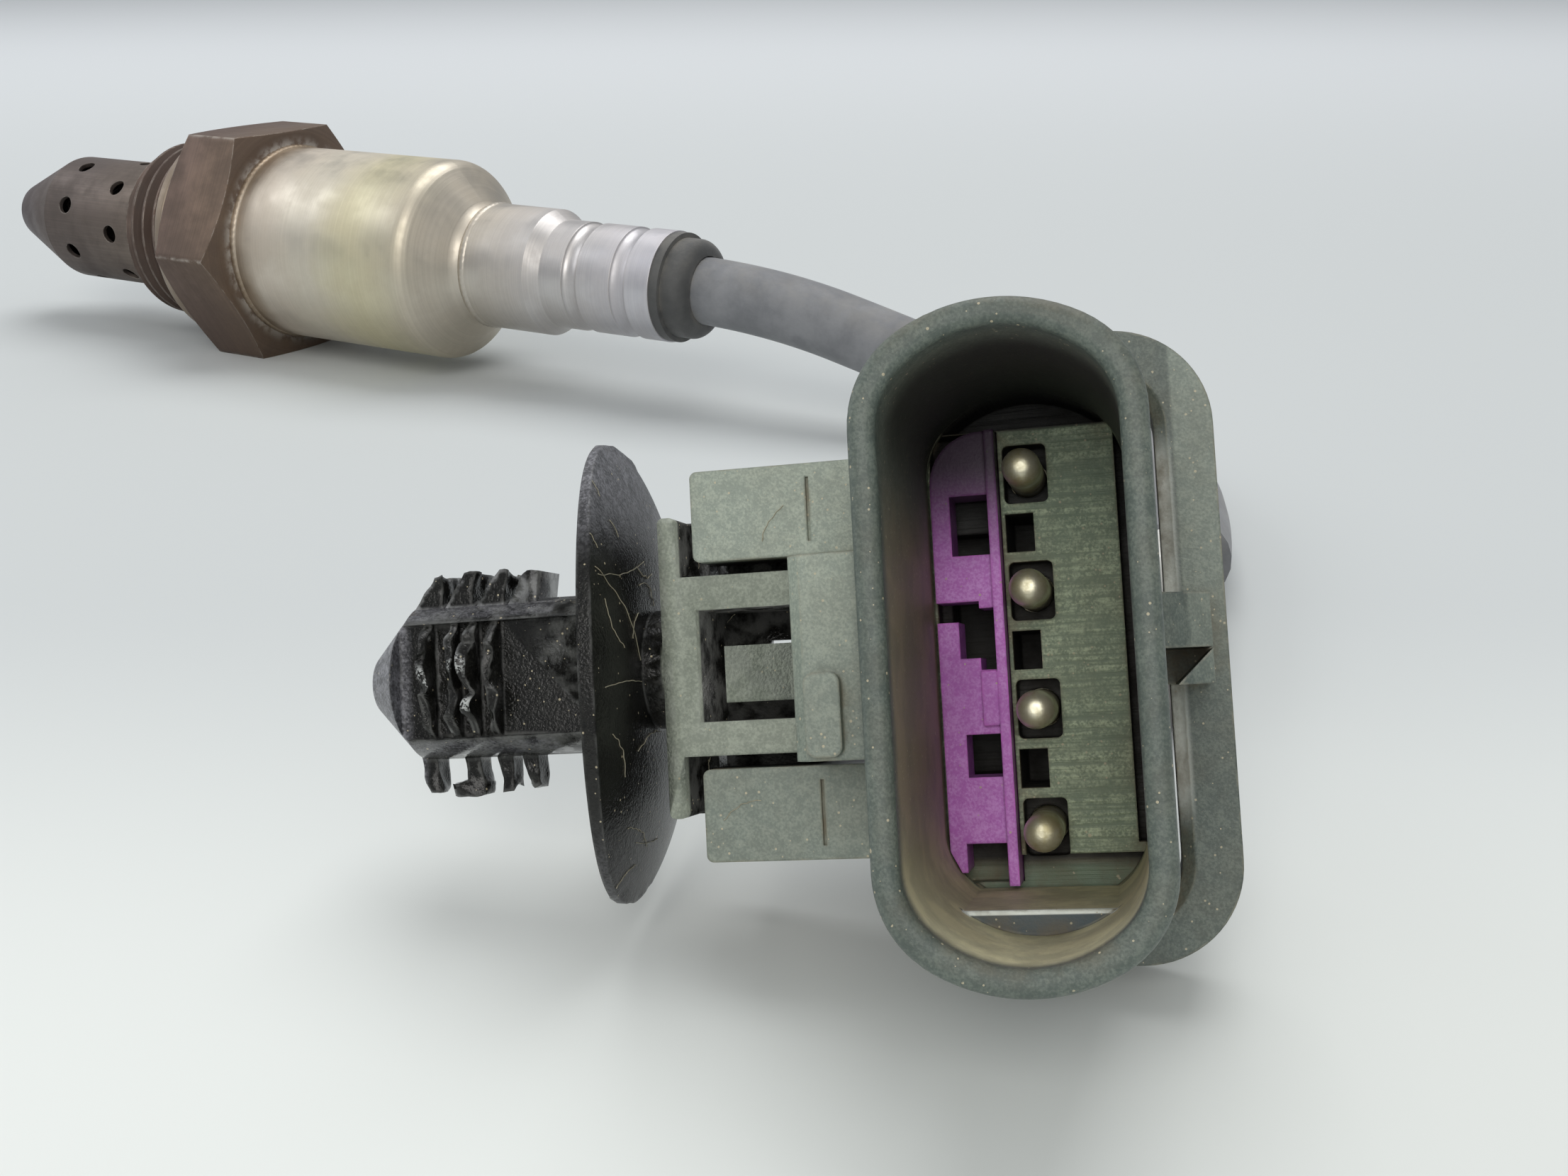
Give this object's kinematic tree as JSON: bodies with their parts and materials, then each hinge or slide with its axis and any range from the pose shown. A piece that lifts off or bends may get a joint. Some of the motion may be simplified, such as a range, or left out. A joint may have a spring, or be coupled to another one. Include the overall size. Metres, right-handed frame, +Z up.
{
  "type": "oxygen sensor",
  "caption": "Screw-in exhaust oxygen sensor with a metal probe, hexagon body and stepped steel sleeves, and a short lead ending in a sealed plug with a push-in mounting clip.",
  "frame": {"origin": "middle of the sealing ring's front face, on the thread axis", "axes": "+X along the sensor from its gas end to its lead, +Z up, away from the hexagon flat it lies on"},
  "size_m": [0.1517, 0.0917, 0.0298],
  "materials": {
    "shell": "satin, browned by heat",
    "ring": "satin",
    "gas_tube": "dull, darkened by heat",
    "element": "fired ceramic",
    "packing": "fired ceramic",
    "contact": "tinned",
    "sleeve": "satin, straw-tinted by heat",
    "grommet": "matt",
    "housing": "dusty, fine grain",
    "seal": "matt",
    "cover": "fine grain",
    "lock": "semi-gloss",
    "clip": "semi-gloss, worn",
    "jacket": "matt",
    "wire_dark": "matt",
    "wire_grey": "matt",
    "wire_pale": "matt"
  },
  "bodies": {
    "root": {"threaded_shell": "shell", "sealing_ring": "ring", "outer_gas_tube": "gas_tube", "inner_gas_tube": "gas_tube", "sensing_element": "element", "front_ceramic": "packing", "powder_packing": "packing", "rear_ceramic": "packing", "contact_block": "packing", "contact_spring_1": "contact", "contact_spring_2": "contact", "contact_spring_3": "contact", "contact_spring_4": "contact", "wire_tails": "wire_dark", "body_sleeve": "sleeve", "rear_sleeve": "sleeve", "cable_grommet": "grommet", "plug_housing": "housing", "contact_pin_1": "contact", "contact_pin_2": "contact", "contact_pin_3": "contact", "contact_pin_4": "contact", "wire_seal_1": "seal", "wire_seal_2": "seal", "wire_seal_3": "seal", "wire_seal_4": "seal", "rear_cover": "cover", "secondary_lock": "lock", "mounting_clip": "clip", "cable_jacket": "jacket", "wire_1": "wire_dark", "wire_2": "wire_grey", "wire_3": "wire_pale", "wire_4": "wire_pale"}
  },
  "joints": []
}
